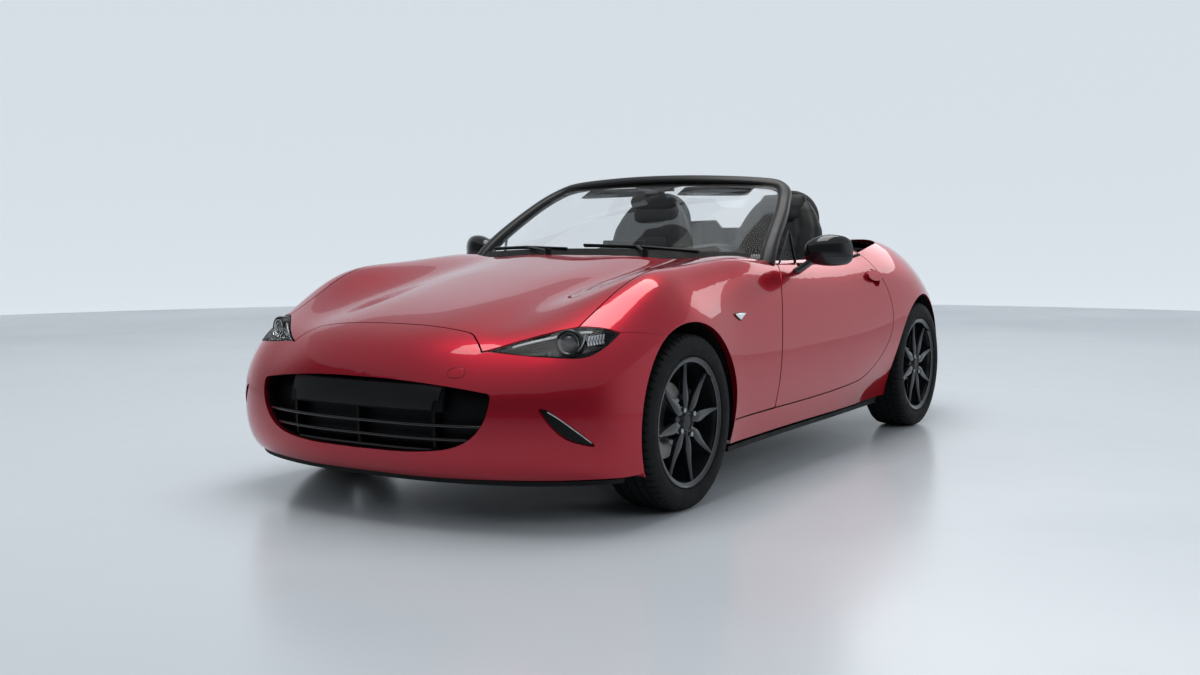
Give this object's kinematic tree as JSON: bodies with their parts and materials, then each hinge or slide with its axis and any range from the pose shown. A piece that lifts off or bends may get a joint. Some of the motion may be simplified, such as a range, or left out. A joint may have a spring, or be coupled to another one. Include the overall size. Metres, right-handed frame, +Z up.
{
  "type": "roadster convertible",
  "caption": "Open roadster with a long bonnet, folded soft top, hinged doors, bonnet and boot lid, steered front wheels and dark spoked road wheels.",
  "frame": {"origin": "on the ground, below the centre of the car", "axes": "+Y towards the tail (the nose faces -Y), +X to the car's left, +Z up"},
  "size_m": [1.95, 3.8984, 1.1966],
  "materials": {
    "paint": "deep metallic gloss",
    "door_paint": "deep metallic gloss",
    "black_gloss": "gloss",
    "black_trim": "grained",
    "structure": "satin",
    "screen_glass": "clear",
    "lens_clear": "clear",
    "lens_red": "gloss",
    "lamp_black": "gloss",
    "seat_leather": "fine grain",
    "dash_plastic": "soft grained",
    "top_fabric": "woven",
    "engine_metal": "cast",
    "chassis_steel": "satin",
    "exhaust_steel": "satin",
    "tyre_rubber": "matt",
    "rim_metal": "dark satin",
    "disc_steel": "turned",
    "wheel_leather": "smooth"
  },
  "bodies": {
    "car_body": {"front_fender_left": "paint", "front_fender_right": "paint", "body_side_left": "paint", "body_side_right": "paint", "front_bumper": "paint", "rear_bumper": "paint", "rear_deck": "paint", "windscreen_frame": "black_gloss", "windscreen": "screen_glass", "cowl_panel": "black_trim", "wipers": "black_trim", "headlamp_lenses": "lens_clear", "headlamp_housings": "lamp_black", "tail_lamps": "lens_red", "marker_lamps": "lens_clear", "grille": "black_gloss", "underbody_trim": "black_trim", "arch_liners": "black_trim", "floor_pan": "structure", "centre_tunnel": "structure", "cabin_structure": "structure", "front_structure": "structure", "boot_tub": "structure", "dashboard": "dash_plastic", "centre_console": "dash_plastic", "roll_hoops": "black_trim", "seat_left": "seat_leather", "seat_right": "seat_leather", "wind_deflector": "black_gloss", "folded_soft_top": "top_fabric", "engine": "engine_metal", "driveline": "chassis_steel", "suspension": "chassis_steel", "exhaust": "exhaust_steel"},
    "door_left": {"door_left": "door_paint", "mirror_left": "black_gloss", "quarter_glass_left": "screen_glass"},
    "door_right": {"door_right": "door_paint", "mirror_right": "black_gloss", "quarter_glass_right": "screen_glass"},
    "bonnet": {"bonnet": "paint"},
    "boot_lid": {"boot_lid": "paint"},
    "steering_wheel": {"steering_wheel": "wheel_leather"},
    "knuckle_left": {"knuckle_left": "chassis_steel"},
    "knuckle_right": {"knuckle_right": "chassis_steel"},
    "wheel_front_left": {"tyre_front_left": "tyre_rubber", "wheel_rim_front_left": "rim_metal", "brake_disc_front_left": "disc_steel"},
    "wheel_front_right": {"tyre_front_right": "tyre_rubber", "wheel_rim_front_right": "rim_metal", "brake_disc_front_right": "disc_steel"},
    "wheel_rear_left": {"tyre_rear_left": "tyre_rubber", "wheel_rim_rear_left": "rim_metal", "brake_disc_rear_left": "disc_steel"},
    "wheel_rear_right": {"tyre_rear_right": "tyre_rubber", "wheel_rim_rear_right": "rim_metal", "brake_disc_rear_right": "disc_steel"}
  },
  "joints": [
    {"name": "steer_left", "type": "hinge", "parent": "car_body", "child": "knuckle_left", "pos_m": [0.69, -1.21036, 0.3], "axis": [0, 0, 1], "range_deg": [-33, 33]},
    {"name": "steer_right", "type": "hinge", "parent": "car_body", "child": "knuckle_right", "pos_m": [-0.69, -1.21036, 0.3], "axis": [0, 0, 1], "range_deg": [-34, 34]},
    {"name": "steering_wheel_turn", "type": "hinge", "parent": "car_body", "child": "steering_wheel", "pos_m": [0.345, 0.00764, 0.712], "axis": [0, 0.9135, 0.4067], "range_deg": [-460, 460]},
    {"name": "wheel_front_left_spin", "type": "hinge", "parent": "knuckle_left", "child": "wheel_front_left", "pos_m": [0.7475, -1.21036, 0.3], "axis": [1, 0, 0], "continuous": true},
    {"name": "wheel_front_right_spin", "type": "hinge", "parent": "knuckle_right", "child": "wheel_front_right", "pos_m": [-0.7475, -1.21036, 0.3], "axis": [1, 0, 0], "continuous": true},
    {"name": "wheel_rear_left_spin", "type": "hinge", "parent": "car_body", "child": "wheel_rear_left", "pos_m": [0.7525, 1.09964, 0.3], "axis": [1, 0, 0], "continuous": true},
    {"name": "wheel_rear_right_spin", "type": "hinge", "parent": "car_body", "child": "wheel_rear_right", "pos_m": [-0.7525, 1.09964, 0.3], "axis": [1, 0, 0], "continuous": true},
    {"name": "door_left_hinge", "type": "hinge", "parent": "car_body", "child": "door_left", "pos_m": [0.825, -0.41036, 0.54], "axis": [0, 0, -1], "range_deg": [0, 62]},
    {"name": "door_right_hinge", "type": "hinge", "parent": "car_body", "child": "door_right", "pos_m": [-0.825, -0.41036, 0.54], "axis": [0, 0, 1], "range_deg": [0, 62]},
    {"name": "bonnet_hinge", "type": "hinge", "parent": "car_body", "child": "bonnet", "pos_m": [0, -0.43836, 0.832], "axis": [-1, 0, 0], "range_deg": [0, 48]},
    {"name": "boot_hinge", "type": "hinge", "parent": "car_body", "child": "boot_lid", "pos_m": [0, 1.23964, 0.893], "axis": [1, 0, 0], "range_deg": [0, 70]}
  ],
  "couplings": [
    {"joint": "steer_right", "follows": "steer_left", "ratio": 1},
    {"joint": "steering_wheel_turn", "follows": "steer_left", "ratio": -13.5}
  ]
}
